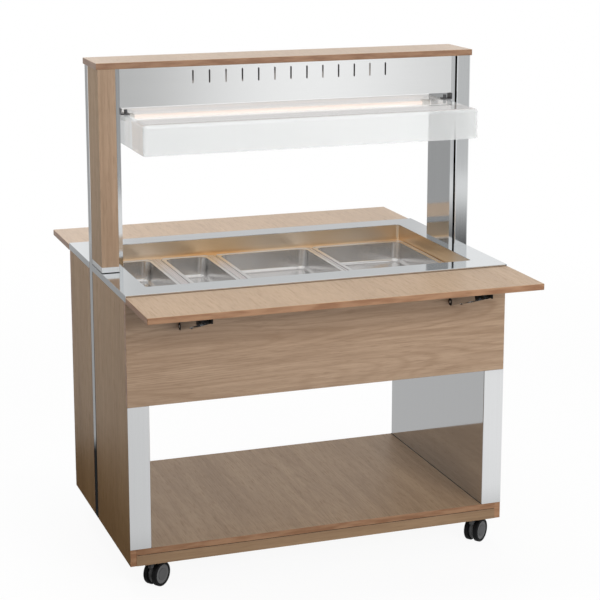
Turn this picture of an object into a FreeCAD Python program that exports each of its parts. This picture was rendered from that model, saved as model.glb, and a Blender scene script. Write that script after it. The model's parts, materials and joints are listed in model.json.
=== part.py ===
import FreeCAD, Part
import math
import os

V = FreeCAD.Vector
X_AXIS = V(1, 0, 0)
Y_AXIS = V(0, 1, 0)
Z_AXIS = V(0, 0, 1)

# Heated buffet trolley. Millimetres, X to the right, front at -Y, Z up from the floor.
# The two ends, and the front and rear shelves, are half-turn copies of each other.

# ---- driving dimensions -------------------------------------------------------------
BOARD = 19.0                    # laminated wooden boards
SHEET = 1.5                     # steel sheet
EASE = 1.0                      # eased edges of the boards
FIT = 0.3                       # clearance between seated pieces
RUN = 0.05                      # radial clearance of pins and shafts
PAST = 1.0                      # how far cutters and joined solids run past a face
CHAMFER = 1.5                   # on knobs and caster necks

WORKTOP_W = 1200.0
WORKTOP_D = 750.0
WORKTOP_Z = 908.0               # height of the worktop surface
WORKTOP_EDGE = 20.0             # height of the folded edge
WORKTOP_BEND = 1.2              # bend radius along the top edges

TOP_REACH_Y = 5.0               # worktop past the cabinet, front and rear
WALL_T = 65.0                   # side walls and columns, outside to inside
PLINTH_Z = 86.0                 # underside of the plinth
BOTTOM_Z = 138.0                # top of the bottom board
APRON_Z = 573.0                 # lower edge of the aprons
LINING_BEND = 3.0

RIM_X = 81.0                    # worktop from its ends to the well
RIM_Y = 84.0                    # worktop from its front edge to the well
WELL_R = 10.0
LEDGE_DROP = 52.0               # worktop surface down to the ledge
LEDGE_X = 13.0                  # width of the ledge at the ends
LEDGE_Y = 37.0                  # width of the ledge at front and rear
BASIN_H = 156.0                 # ledge down to the underside of the basin
BASIN_R = 25.0
TRAY_UPSTAND = 20.0
PLATE_COUNT = 3
PLATE_GAP = 47.0                # between two heating plates
PLATE_BACK = 44.0               # basin wall to the heating plates
PLATE_T = 6.0

PAN_UNITS = 3                   # 1/1 gastronorm units beside each other
PAN_END_GAP = 26.0              # pan ends to the walls of the well
PAN_DEPTH = 65.0
PAN_FLANGE = 13.0
PAN_LIP = 2.0                   # raised edge round the flange
PAN_RIM_R = 18.0                # corners of the flange, in plan
PAN_MOUTH_R = 24.0              # corners of the tub, in plan
PAN_FLOOR_R = 12.0
PAN_SHEET = 1.0
PAN_WALL_LEAN = 5.0             # how far the floor is drawn in on each side
PAN_EDGE_GAP = 3.0              # first pan to the wall of the well
PAN_GAPS = (26.0, 22.0, 9.0)    # between the four pans, filled by the bars
BAR_LEG = 14.0
BAR_SIDE = 1.0
BAR_REACH = 10.0                # length of a bar that lies on the ledge

POST_X = 46.0                   # post section across the wall
POST_Y = 40.0                   # visible width of the post
POST_T = 2.0
POST_R = 4.0
POST_SHADOW = 4.0               # shadow gap between post and boards
COLUMN_D = 175.0
COLUMN_H = 611.0                # above the worktop
COVER_X = 12.0                  # inner cover of the column
COLLAR_H = 18.0

CANOPY_H = 115.0
CANOPY_LIP = 20.0
SLOT_COUNT = 13
SLOT_PITCH = 51.5
SLOT_W = 5.0
SLOT_H = 40.0
SLOT_DROP = 51.0                # top of the canopy down to the lower end of the slots
TOP_LIP_X = 4.5                 # top board past the columns, at the ends
TOP_LIP_Y = 1.5                 # and at front and rear
RIB_COUNT = 4
RIB_SLOTS = 3                   # slots from one rib to the next; ribs stand between slots
RIB_T = 2.0

REFLECTOR_WING = 44.0
REFLECTOR_ARCH = 34.0
REFLECTOR_END = 12.0            # reflector end to the column cover
TUBE_R = 6.0
TUBE_END = 38.5                 # end of the tube to the column
HOLDER_X = 24.0
HOLDER_Y = 24.0
HOLDER_DROP = 9.0               # tube axis down to the underside of the holder

KNOB_IN = 133.5                 # knob axis to the column
KNOB_DROP = 57.0                # top of the canopy down to the knob axis
KNOB_R = 20.0
KNOB_H = 18.0
KNOB_TAPER = 2.0
KNOB_SKIRT = 3.0                # plain ring under the flutes
FLUTE_COUNT = 16
FLUTE_R = 3.0
FLUTE_OUT = 1.6                 # knob side to the axes of the flutes
POINTER_W = 3.0
POINTER_H = 1.5
POINTER_IN = 4.0                # knob side to the end of the pointer
KNOB_SHAFT_R = 3.0
KNOB_SHAFT_IN = 12.0            # length of the shaft inside the thermostat
KNOB_SHAFT_GAP = 2.0            # end of the shaft to the end of its bore
KNOB_HOLE_GAP = 1.0             # shaft to the hole in the panel
THERMOSTAT = (44.0, 30.0, 44.0)

INLET_IN = 78.0                 # axis of the mains inlet to the outer face of the wall
INLET_UP = 45.0                 # lower edge of the apron to the axis
INLET_FLANGE = (50.0, 3.0, 31.0)
INLET_FLANGE_R = 4.0
INLET_BODY = (28.0, 40.0, 20.0)
INLET_POCKET = (24.0, 18.0, 16.0)
INLET_CORNER = 5.0              # cut corners of the pocket
BLADE = (2.0, 12.0, 5.0)
BLADE_PITCH = 7.0
BLADE_RISE = 2.5                # middle blade above the outer ones

GUARD_GAP = 11.5                # cheek to the column
GUARD_REACH = 230.5             # hood in front of the columns
GUARD_BACK = 45.0
GUARD_H = 91.0
GUARD_DROP = 20.0               # lower edge of the canopy down to the hood
GUARD_T = 4.0
GUARD_R = 12.0
GUARD_PIVOT_Y = 30.0
GUARD_PIVOT_DROP = 24.0         # top of the hood down to the pivots
GUARD_KNOB_R = 12.0
GUARD_KNOB_T = 8.0
GUARD_SHANK_R = 4.0
GUARD_SPACER_R = 10.0
CLIP_X = 28.0
CLIP_Y = 32.0
CLIP_OUT = 8.5                  # clip in front of the column
CLIP_T = 3.0
CLIP_PAD_R = 5.0
CLIP_PAD_H = 13.7
CLIP_PAD_IN = 9.0               # pad axis to the end of the clip

SHELF_D = 245.0
SHELF_GAP = 3.0                 # worktop edge to shelf
SHELF_DROP = 5.0                # worktop surface down to the shelf surface
HINGE_IN = 80.0                 # outer hinges to the ends of the shelf
HINGE_BACK = 14.0               # shelf edge to the hinge axis
HINGE_DOWN = 9.0                # shelf underside down to the hinge axis
HINGE_R = 6.0
HINGE_PIN_R = 3.0
HINGE_W = 50.0
HINGE_CENTRE_W = 26.0
HINGE_PLATE = 2.5
HINGE_PLATE_DROP = 55.7         # height of the plate on the apron
HINGE_SLOT = 6.0                # plate to the slot for the middle knuckle
LEAF_T = 2.0
LEAF_Y = 54.0                   # hinge axis to the far end of the leaf

STAY_IN = 175.0                 # stays to the ends of the shelf
STAY_FOOT_Y = 16.0              # apron face to the stay pivot
STAY_FOOT_DROP = 76.0           # shelf underside down to the stay pivot
STAY_TIP_Y = 197.0              # shelf rear edge to the tip of the stay
STAY_END_R = 12.0
STAY_TIP_R = 8.0
STAY_ARM_T = 3.5
STAY_SIDE_GAP = 0.5             # ears of the foot to the arms of the stay
STAY_PIN_R = 4.0
STAY_PIN_HEAD = 1.0             # pin past the arms
STAY_SLEEVE_T = 3.0
STAY_BAR_R = 5.0
FOOT_PLATE = (30.0, 3.0, 44.0)
FOOT_PLATE_LOW = 4.0            # stay pivot down to the lower end of the plate
FOOT_EAR_T = 3.0
FOOT_EAR_R = 10.0
SADDLE_T = 5.0
SADDLE_BACK = 11.0              # bar of the stay to the rear end of the saddle
SADDLE_Z = 12.0
SADDLE_GAP = 0.5                # saddle to the arm of the stay beside it
SADDLE_R = 12.0
SADDLE_DIP = 1.2
NOSE_Y = 35.0                   # bar of the stay to the front end of the nose
NOSE_Z = 16.0
NOSE_RAMP = (6.0, 20.0)         # bar of the stay to the start and the end of the ramp

CASTER_IN_X = 38.5              # outer panel to the flange of the caster
CASTER_IN_Y = 1.0               # plinth rail to the flange
CASTER_TRAIL = 20.0
CASTER_AXLE = 127.0             # axles in plan, degrees from +X: all trail to the right and rear
WHEEL_R = 37.5
WHEEL_W = 46.0                  # over both wheels
WHEEL_GAP = 19.0                # between the two wheels
WHEEL_EDGE = 3.0
HUB_R = 29.0
HUB_STEP = 1.6
HUB_RING = 10.0
AXLE_R = 4.0
HOUSING_T = 12.0
HOUSING_R = 31.0
NECK_R = 13.0
NECK_GAP = 2.5                  # wheels to the neck
FLANGE_R = 18.0
FLANGE_T = 3.0
KINGPIN_R = 5.0
KINGPIN_UP = 6.0                # underside of the neck to the end of the kingpin
KINGPIN_GAP = 1.0               # end of the kingpin to the end of its bore
WEB_BACK = 12.0                 # axle to the rear end of the web
WEB_LEAN = 16.0                 # how far the web leans forward
WEB_LOW = 24.0                  # axle to the underside of the web
WEB_TOP = 8.0                   # underside of the neck to the top of the web

# ---- derived places -----------------------------------------------------------------
HALF_W = WORKTOP_W / 2 - SHEET              # outer face of the side walls and columns
HALF_D = WORKTOP_D / 2 - TOP_REACH_Y
CABINET_D = 2 * HALF_D
INNER_X = HALF_W - WALL_T                   # inner face of the side walls and columns
BOARD_X = HALF_W - BOARD                    # inner face of the outer panels
UNDER_TOP = WORKTOP_Z - SHEET
WELL_W = WORKTOP_W - 2 * RIM_X
WELL_D = WORKTOP_D - 2 * RIM_Y
LEDGE_Z = WORKTOP_Z - LEDGE_DROP
BASIN_Z = LEDGE_Z - BASIN_H
BASIN_W = WELL_W - 2 * LEDGE_X
BASIN_D = WELL_D - 2 * LEDGE_Y
PAN_L = WELL_D - 2 * PAN_END_GAP
PAN_LARGE_W = (WELL_W - 2 * PAN_EDGE_GAP - sum(PAN_GAPS)) / PAN_UNITS
PAN_SMALL_W = PAN_LARGE_W / 2
POST_Y1 = COLUMN_D / 2
POST_Y0 = POST_Y1 - POST_Y
POST_IN = HALF_W - POST_X
COLUMN_Y = COLUMN_D / 2
COVER_IN = INNER_X + COVER_X                # side of the cover that faces the boards
COLLAR_TOP = WORKTOP_Z + COLLAR_H
COLUMN_TOP = WORKTOP_Z + COLUMN_H
CANOPY_Z = COLUMN_TOP - CANOPY_H            # lower edge of the canopy panels
SLOT_Z = COLUMN_TOP - SLOT_DROP
KNOB_Z = COLUMN_TOP - KNOB_DROP
TUBE_Z = CANOPY_Z
PANEL_X = INNER_X - FIT                     # half length of the canopy panels
TUBE_X = INNER_X - TUBE_END                 # half length of the heat tube
KNOB_X = INNER_X - KNOB_IN
INLET_X = HALF_W - INLET_IN
INLET_Z = APRON_Z + INLET_UP
GUARD_X = INNER_X - GUARD_GAP               # outer face of the cheeks
GUARD_FRONT = -COLUMN_Y - GUARD_REACH
GUARD_TOP = CANOPY_Z - GUARD_DROP
GUARD_Z = GUARD_TOP - GUARD_H
GUARD_PIVOT_Z = GUARD_TOP - GUARD_PIVOT_DROP
SHELF_TOP = WORKTOP_Z - SHELF_DROP
SHELF_Z = SHELF_TOP - BOARD                 # underside of the shelves
SHELF_Y1 = -WORKTOP_D / 2 - SHELF_GAP
SHELF_Y0 = SHELF_Y1 - SHELF_D
AXIS_Y = SHELF_Y1 - HINGE_BACK              # hinge axis of the front shelf
AXIS_Z = SHELF_Z - HINGE_DOWN
HINGE_X = WORKTOP_W / 2 - HINGE_IN
HINGE_XS = (-HINGE_X, 0.0, HINGE_X)
STAY_X = WORKTOP_W / 2 - STAY_IN
STAY_INSIDE = FOOT_PLATE[0] + 2 * STAY_SIDE_GAP    # between the two arms of a stay
SADDLE_OFF = STAY_INSIDE / 2 - SADDLE_GAP - SADDLE_T / 2
STAY_Y = -HALF_D - STAY_FOOT_Y
STAY_FOOT_Z = SHELF_Z - STAY_FOOT_DROP
TIP_Y = SHELF_Y1 - STAY_TIP_Y
STAY_TIP_Z = SHELF_Z - SADDLE_Z + SADDLE_DIP - STAY_BAR_R - FIT
CASTER_X = BOARD_X - CASTER_IN_X - FLANGE_R
CASTER_Y = HALF_D - BOARD - CASTER_IN_Y - FLANGE_R
CASTER_TOP = BOTTOM_Z - BOARD
NECK_Z = 2 * WHEEL_R + NECK_GAP


# ---- helpers ------------------------------------------------------------------------
def block(x, y, z):
    """Box from three (low, high) ranges."""
    return Part.makeBox(x[1] - x[0], y[1] - y[0], z[1] - z[0], V(x[0], y[0], z[0]))


def centred(width, depth, z):
    return block((-width / 2, width / 2), (-depth / 2, depth / 2), z)


def upright_edges(shape):
    return [e for e in shape.Edges
            if abs(e.Vertexes[0].X - e.Vertexes[-1].X) < 1e-6
            and abs(e.Vertexes[0].Y - e.Vertexes[-1].Y) < 1e-6
            and abs(e.Vertexes[0].Z - e.Vertexes[-1].Z) > 1e-6]


def rounded(width, depth, z, radius):
    """Centred box with rounded upright edges."""
    shape = centred(width, depth, z)
    return shape.makeFillet(radius, upright_edges(shape))


def eased(shape, radius=EASE):
    return shape.makeFillet(radius, shape.Edges)


def rod(radius, start, end):
    axis = end.sub(start)
    return Part.makeCylinder(radius, axis.Length, start, axis)


def prism(points, direction):
    """Closed straight-sided outline pushed along a direction."""
    wire = Part.makePolygon(points + [points[0]])
    return Part.Face(wire).extrude(direction)


def half_turn(shape):
    """The same piece at the other end, or on the other side."""
    copy = shape.copy()
    copy.rotate(V(0, 0, 0), Z_AXIS, 180)
    return copy


def moved(shape, x, y=0.0, z=0.0):
    copy = shape.copy()
    copy.translate(V(x, y, z))
    return copy


def save(name, *solids):
    shape = solids[0] if len(solids) == 1 else Part.makeCompound(list(solids))
    shape.exportStep(os.path.join("parts", name + ".step"))


def save_ends(name, left):
    """A piece of the left end and its half-turn copy at the right end."""
    save(name.format("left"), left)
    save(name.format("right"), half_turn(left))


# ---- cabinet ------------------------------------------------------------------------
def outer_panels():
    """Wooden outer skin of the left wall, in front of the post and behind it."""
    def skin(sign, post_side):
        face = sign * (HALF_D - SHEET)
        behind_apron = sign * (HALF_D - BOARD)
        outline = [(post_side, PLINTH_Z), (face, PLINTH_Z), (face, APRON_Z),
                   (behind_apron, APRON_Z), (behind_apron, UNDER_TOP), (post_side, UNDER_TOP)]
        return prism([V(-HALF_W, y, z) for y, z in outline], V(BOARD, 0, 0))

    front = skin(-1, POST_Y0 - POST_SHADOW)
    rear = skin(1, POST_Y1 + FIT)
    save("outer_panel_left_front", front)
    save("outer_panel_left_rear", rear)
    save("outer_panel_right_rear", half_turn(front))
    save("outer_panel_right_front", half_turn(rear))


def wall_lining():
    """Bright sheet inside the left wall, folded round its front and rear edges."""
    height = (BOTTOM_Z, APRON_Z)
    outside = block((-HALF_W, -INNER_X), (-HALF_D, HALF_D), height)
    inside = block((-HALF_W, -INNER_X - SHEET), (-HALF_D + SHEET, HALF_D - SHEET), height)
    corners = [e for e in upright_edges(outside) if abs(e.Vertexes[0].X + INNER_X) < 0.1]
    outside = outside.makeFillet(LINING_BEND, corners)
    corners = [e for e in upright_edges(inside) if abs(e.Vertexes[0].X + INNER_X + SHEET) < 0.1]
    inside = inside.makeFillet(LINING_BEND - SHEET, corners)
    return outside.cut(inside)


def apron():
    """Wide wooden board across the front, under the worktop."""
    return eased(block((-HALF_W, HALF_W), (-HALF_D, -HALF_D + BOARD), (APRON_Z, UNDER_TOP)))


def inlet_window():
    """Hole for the body of the mains inlet in the rear apron."""
    across, deep, high = INLET_BODY
    return block((INLET_X - across / 2 - FIT, INLET_X + across / 2 + FIT), (0, WORKTOP_D),
                 (INLET_Z - high / 2 - FIT, INLET_Z + high / 2 + FIT))


def post_notch(height):
    """Room for the left post and its half-turn copy."""
    notch = block((-WORKTOP_W, -POST_IN + FIT), (POST_Y0 - FIT, POST_Y1 + FIT), height)
    return notch.fuse(half_turn(notch))


def bottom_board():
    board = centred(2 * BOARD_X, CABINET_D, (BOTTOM_Z - BOARD, BOTTOM_Z))
    return board.cut(post_notch((0, BOTTOM_Z + BOARD)))


def plinth_rail():
    return block((-BOARD_X, BOARD_X), (-HALF_D, -HALF_D + BOARD), (PLINTH_Z, BOTTOM_Z - BOARD))


def post():
    """Rectangular tube from the plinth up to the top board."""
    height = (PLINTH_Z, COLUMN_TOP)
    outside = rounded(POST_X, POST_Y, height, POST_R)
    inside = rounded(POST_X - 2 * POST_T, POST_Y - 2 * POST_T, height, POST_R - POST_T)
    tube = outside.cut(inside)
    return moved(tube, -HALF_W + POST_X / 2, POST_Y1 - POST_Y / 2)


def make_cabinet():
    outer_panels()
    save_ends("wall_lining_{}", wall_lining())
    save("apron_front", apron())
    save("apron_rear", half_turn(apron()).cut(inlet_window()))
    save("bottom_board", bottom_board())
    save("plinth_rails", plinth_rail(), half_turn(plinth_rail()))
    save_ends("post_{}", post())


# ---- worktop and well ---------------------------------------------------------------
def worktop():
    """Sheet with folded edges, the well opening and a notch for each post."""
    height = (WORKTOP_Z - WORKTOP_EDGE, WORKTOP_Z)
    top = rounded(WORKTOP_W, WORKTOP_D, height, 2 * WORKTOP_BEND)
    rim = [e for e in top.Edges if e.BoundBox.ZMin > WORKTOP_Z - 1e-3]
    top = top.makeFillet(WORKTOP_BEND, rim)
    hollow = centred(WORKTOP_W - 2 * SHEET, WORKTOP_D - 2 * SHEET, (0, UNDER_TOP))
    opening = rounded(WELL_W, WELL_D, (0, WORKTOP_Z + PAST), WELL_R)
    return top.cut(hollow).cut(opening).cut(post_notch((0, WORKTOP_Z + PAST)))


def well_tank():
    """Stepped tank: the upper part holds the ledge, the basin below takes the pans."""
    upper = rounded(WELL_W + 2 * SHEET, WELL_D + 2 * SHEET, (LEDGE_Z - SHEET, UNDER_TOP),
                    WELL_R + SHEET)
    upper = upper.cut(rounded(WELL_W, WELL_D, (LEDGE_Z, WORKTOP_Z), WELL_R))
    lower = rounded(BASIN_W + 2 * SHEET, BASIN_D + 2 * SHEET, (BASIN_Z, LEDGE_Z),
                    BASIN_R + SHEET)
    room = rounded(BASIN_W, BASIN_D, (BASIN_Z + SHEET, WORKTOP_Z), BASIN_R)
    return upper.fuse(lower).cut(room).removeSplitter()


def pan_places():
    """Name, width and left edge of each pan, and the left edge of each gap."""
    names = ("pan_small_left", "pan_small_right", "pan_large_left", "pan_large_right")
    widths = (PAN_SMALL_W, PAN_SMALL_W, PAN_LARGE_W, PAN_LARGE_W)
    places = []
    left = -WELL_W / 2 + PAN_EDGE_GAP
    for name, width, gap in zip(names, widths, PAN_GAPS + (0.0,)):
        places.append((name, width, left, gap))
        left += width + gap
    return places


def lower_wire(slab, z):
    """Outline of the underside of a slab."""
    faces = [f for f in slab.Faces if f.BoundBox.ZMax < z + 1e-3]
    return faces[0].OuterWire


def pan(width):
    """Gastronorm pan with a flat flange, rounded corners and leaning walls."""
    flange_z = LEDGE_Z + FIT
    flange = rounded(width, PAN_L, (flange_z, flange_z + PAN_SHEET), PAN_RIM_R)
    lip = rounded(width, PAN_L, (flange_z, flange_z + 2 * PAN_SHEET), PAN_RIM_R)
    lip = lip.cut(rounded(width - 2 * PAN_LIP, PAN_L - 2 * PAN_LIP,
                          (flange_z, flange_z + PAN_FLANGE), PAN_RIM_R - PAN_LIP))

    def tub(inset, drop):
        wires = []
        for lean, z in ((0.0, flange_z + PAN_SHEET), (PAN_WALL_LEAN, flange_z - drop)):
            across = width - 2 * (PAN_FLANGE + inset + lean)
            along = PAN_L - 2 * (PAN_FLANGE + inset + lean)
            slab = rounded(across, along, (z, z + PAST), PAN_MOUTH_R - inset)
            wires.append(lower_wire(slab, z))
        solid = Part.makeLoft(wires, True, True)
        foot = [e for e in solid.Edges if e.BoundBox.ZMax < flange_z - drop + 1e-3]
        return solid.makeFillet(PAN_FLOOR_R - inset, foot)

    outside = tub(0.0, PAN_DEPTH)
    inside = tub(PAN_SHEET, PAN_DEPTH - PAN_SHEET)
    return flange.fuse([lip, outside]).cut(inside).removeSplitter()


def pan_bar(width):
    """Upturned channel that fills the gap between two pans."""
    reach = BASIN_D / 2 + BAR_REACH
    top = block((-width / 2, width / 2), (-reach, reach), (LEDGE_Z, LEDGE_Z + SHEET))
    legs = block((-width / 2, width / 2), (-BASIN_D / 2 + BAR_SIDE, BASIN_D / 2 - BAR_SIDE),
                 (LEDGE_Z - BAR_LEG, LEDGE_Z + SHEET))
    hollow = block((-width / 2 + SHEET, width / 2 - SHEET), (-BASIN_D, BASIN_D),
                   (LEDGE_Z - BAR_LEG, LEDGE_Z))
    return top.fuse(legs).cut(hollow).removeSplitter()


def under_tray():
    """Upturned sheet tray that closes the ceiling of the compartment."""
    across = 2 * (BOARD_X - FIT)
    along = 2 * (HALF_D - BOARD - FIT)
    outside = centred(across, along, (APRON_Z, APRON_Z + TRAY_UPSTAND))
    inside = centred(across - 2 * SHEET, along - 2 * SHEET, (APRON_Z + SHEET, WORKTOP_Z))
    return outside.cut(inside).cut(post_notch((0, WORKTOP_Z)))


def make_worktop():
    save("worktop", worktop())
    save("well_tank", well_tank())
    bars = []
    for name, width, left, gap in pan_places():
        save(name, moved(pan(width), left + width / 2))
        if gap:
            bars.append(moved(pan_bar(gap - 2 * BAR_SIDE), left + width + gap / 2))
    save("pan_bars", *bars)
    pitch = BASIN_W / PLATE_COUNT
    plate = centred(pitch - PLATE_GAP, BASIN_D - 2 * PLATE_BACK, (BASIN_Z - PLATE_T, BASIN_Z))
    offsets = [(i - (PLATE_COUNT - 1) / 2) * pitch for i in range(PLATE_COUNT)]
    save("heating_plates", *[moved(plate, x) for x in offsets])
    save("under_tray", under_tray())


# ---- columns ------------------------------------------------------------------------
def column_cover():
    height = (WORKTOP_Z, COLUMN_TOP)
    outside = block((-COVER_IN, -INNER_X), (-COLUMN_Y, COLUMN_Y), height)
    hollow = block((-COVER_IN, -INNER_X - SHEET), (-COLUMN_Y + SHEET, COLUMN_Y - SHEET), height)
    return outside.cut(hollow)


def face_outline(z):
    """Front board in plan, mitred at the outer corner."""
    return [V(-HALF_W, -COLUMN_Y, z), V(-COVER_IN - FIT, -COLUMN_Y, z),
            V(-COVER_IN - FIT, -COLUMN_Y + BOARD, z), V(-BOARD_X, -COLUMN_Y + BOARD, z)]


def side_outline(z):
    """Side board in plan, mitred at the outer corner."""
    far = POST_Y0 - POST_SHADOW
    return [V(-HALF_W, -COLUMN_Y, z), V(-BOARD_X, -COLUMN_Y + BOARD, z),
            V(-BOARD_X, far, z), V(-HALF_W, far, z)]


def make_columns():
    rise = V(0, 0, COLUMN_TOP - COLLAR_TOP)
    save_ends("column_cover_{}", column_cover())
    save_ends("column_face_board_{}", prism(face_outline(COLLAR_TOP), rise))
    save_ends("column_side_board_{}", prism(side_outline(COLLAR_TOP), rise))
    skirting = V(0, 0, COLLAR_H)
    collar = prism(face_outline(WORKTOP_Z), skirting)
    collar = collar.fuse(prism(side_outline(WORKTOP_Z), skirting)).removeSplitter()
    save("column_collars", collar, half_turn(collar))


# ---- canopy -------------------------------------------------------------------------
def canopy_panel():
    """Front sheet of the canopy with a lip at the top and at the bottom."""
    outside = block((-PANEL_X, PANEL_X), (-COLUMN_Y, -COLUMN_Y + CANOPY_LIP),
                    (CANOPY_Z, COLUMN_TOP))
    hollow = block((-WORKTOP_W, WORKTOP_W), (-COLUMN_Y + SHEET, 0),
                   (CANOPY_Z + SHEET, COLUMN_TOP - SHEET))
    return outside.cut(hollow)


def slot(x):
    """Upright slot with round ends."""
    low = SLOT_Z + SLOT_W / 2
    high = SLOT_Z + SLOT_H - SLOT_W / 2
    body = block((x - SLOT_W / 2, x + SLOT_W / 2), (-COLUMN_D, 0), (low, high))
    ends = [rod(SLOT_W / 2, V(x, -COLUMN_D, z), V(x, 0, z)) for z in (low, high)]
    return body.fuse(ends)


def slotted_panel():
    first = -(SLOT_COUNT - 1) / 2 * SLOT_PITCH
    slots = [slot(first + i * SLOT_PITCH) for i in range(SLOT_COUNT)]
    return canopy_panel().cut(Part.makeCompound(slots))


def control_panel():
    """Rear sheet of the canopy with the hole for the thermostat shaft."""
    hole = rod(KNOB_SHAFT_R + KNOB_HOLE_GAP, V(KNOB_X, 0, KNOB_Z), V(KNOB_X, COLUMN_D, KNOB_Z))
    return half_turn(canopy_panel()).cut(hole)


def canopy_rib(x):
    inner = COLUMN_Y - SHEET
    lip = COLUMN_Y - CANOPY_LIP
    low = CANOPY_Z + REFLECTOR_ARCH + 3 * SHEET
    across = (x - RIB_T / 2, x + RIB_T / 2)
    web = block(across, (-inner, inner), (low, COLUMN_TOP - SHEET))
    raised = block(across, (-lip, lip), (COLUMN_TOP - 2 * SHEET, COLUMN_TOP))
    return web.fuse(raised).removeSplitter()


def arch(rise, half_width, base_z, half_length):
    """Solid under a round arch that runs along X."""
    left = V(-half_length, -half_width, base_z)
    right = V(-half_length, half_width, base_z)
    crown = V(-half_length, 0, base_z + rise)
    curve = Part.Arc(left, crown, right).toShape()
    face = Part.Face(Part.Wire([curve, Part.makeLine(right, left)]))
    return face.extrude(V(2 * half_length, 0, 0))


def reflector():
    """Trough over the heat tube; its wings lie on the lower lips of the panels."""
    half = INNER_X - REFLECTOR_END
    low = CANOPY_Z + SHEET
    wing = COLUMN_Y - SHEET - FIT
    plate = block((-half, half), (-wing, wing), (low, low + SHEET))
    outside = arch(REFLECTOR_ARCH, REFLECTOR_WING, low, half)
    inside = arch(REFLECTOR_ARCH - SHEET, REFLECTOR_WING - SHEET, low, half + PAST)
    return plate.fuse(outside).cut(inside).removeSplitter()


def tube_holder(x):
    """Ceramic block under the crown of the reflector that grips one end of the tube."""
    low = TUBE_Z - HOLDER_DROP
    body = block((x - HOLDER_X / 2, x + HOLDER_X / 2), (-HOLDER_Y / 2, HOLDER_Y / 2),
                 (low, CANOPY_Z + REFLECTOR_ARCH))
    roof = arch(REFLECTOR_ARCH - SHEET - FIT, REFLECTOR_WING - SHEET - FIT,
                CANOPY_Z + SHEET, WORKTOP_W)
    below = block((-WORKTOP_W, WORKTOP_W), (-HOLDER_Y, HOLDER_Y), (low - PAST, CANOPY_Z + SHEET))
    bore = rod(TUBE_R + RUN, V(x - HOLDER_X, 0, TUBE_Z), V(x + HOLDER_X, 0, TUBE_Z))
    return body.common(roof.fuse(below)).cut(bore).removeSplitter()


def make_canopy():
    save("canopy_front_panel", slotted_panel())
    save("canopy_rear_panel", control_panel())
    pitch = RIB_SLOTS * SLOT_PITCH
    ribs = [canopy_rib((i - (RIB_COUNT - 1) / 2) * pitch) for i in range(RIB_COUNT)]
    save("canopy_ribs", *ribs)
    save("reflector", reflector())
    save("heat_tube", rod(TUBE_R, V(-TUBE_X, 0, TUBE_Z), V(TUBE_X, 0, TUBE_Z)))
    inset = TUBE_X - HOLDER_X / 2
    save("tube_holders", tube_holder(-inset), tube_holder(inset))
    board = centred(2 * (HALF_W + TOP_LIP_X), COLUMN_D + 2 * TOP_LIP_Y,
                    (COLUMN_TOP, COLUMN_TOP + BOARD))
    save("top_board", eased(board, 2 * EASE))


# ---- thermostat and mains inlet -------------------------------------------------------
def thermostat_knob():
    """Fluted knob with a raised pointer and the shaft that goes into the thermostat."""
    face = COLUMN_Y + FIT
    top = face + KNOB_H
    knob = Part.makeCone(KNOB_R, KNOB_R - KNOB_TAPER, KNOB_H, V(KNOB_X, face, KNOB_Z), Y_AXIS)
    flutes = []
    for i in range(FLUTE_COUNT):
        turn = 2 * math.pi * i / FLUTE_COUNT
        x = KNOB_X + (KNOB_R + FLUTE_OUT) * math.cos(turn)
        z = KNOB_Z + (KNOB_R + FLUTE_OUT) * math.sin(turn)
        flutes.append(rod(FLUTE_R, V(x, face + KNOB_SKIRT, z), V(x, top + PAST, z)))
    pointer = block((KNOB_X - POINTER_W / 2, KNOB_X + POINTER_W / 2), (top - PAST, top + POINTER_H),
                    (KNOB_Z, KNOB_Z + KNOB_R - POINTER_IN))
    shaft = rod(KNOB_SHAFT_R, V(KNOB_X, COLUMN_Y - SHEET - KNOB_SHAFT_IN, KNOB_Z),
                V(KNOB_X, face + PAST, KNOB_Z))
    return knob.cut(Part.makeCompound(flutes)).fuse([pointer, shaft]).removeSplitter()


def thermostat_body():
    across, deep, high = THERMOSTAT
    inside = COLUMN_Y - SHEET
    body = block((KNOB_X - across / 2, KNOB_X + across / 2), (inside - deep, inside),
                 (KNOB_Z - high / 2, KNOB_Z + high / 2))
    bore = rod(KNOB_SHAFT_R + RUN, V(KNOB_X, inside - KNOB_SHAFT_IN - KNOB_SHAFT_GAP, KNOB_Z),
               V(KNOB_X, inside + PAST, KNOB_Z))
    return body.cut(bore)


def inlet_block(size, y, rise=0.0, x=0.0):
    """Block of a given size about the axis of the inlet, from y towards the front."""
    across, deep, high = size
    return block((INLET_X + x - across / 2, INLET_X + x + across / 2), (y - deep, y),
                 (INLET_Z + rise - high / 2, INLET_Z + rise + high / 2))


def mains_inlet():
    """Built-in inlet: flange on the rear apron, pocket with cut corners and three blades."""
    outer = HALF_D + INLET_FLANGE[1]
    flange = inlet_block(INLET_FLANGE, outer)
    along_y = [e for e in flange.Edges if e.BoundBox.YLength > INLET_FLANGE[1] / 2]
    flange = flange.makeFillet(INLET_FLANGE_R, along_y)
    pocket = inlet_block(INLET_POCKET, outer)
    low = INLET_Z - INLET_POCKET[2] / 2
    corners = [e for e in pocket.Edges if e.BoundBox.YLength > PAST and e.BoundBox.ZMax < low + PAST]
    pocket = pocket.makeChamfer(INLET_CORNER, corners)
    floor = outer - INLET_POCKET[1]
    blades = [inlet_block(BLADE, floor + BLADE[1], rise, x)
              for x, rise in ((-BLADE_PITCH, 0), (0, BLADE_RISE), (BLADE_PITCH, 0))]
    body = inlet_block(INLET_BODY, HALF_D)
    return flange.fuse(body).cut(pocket).fuse(blades).removeSplitter()


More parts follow.
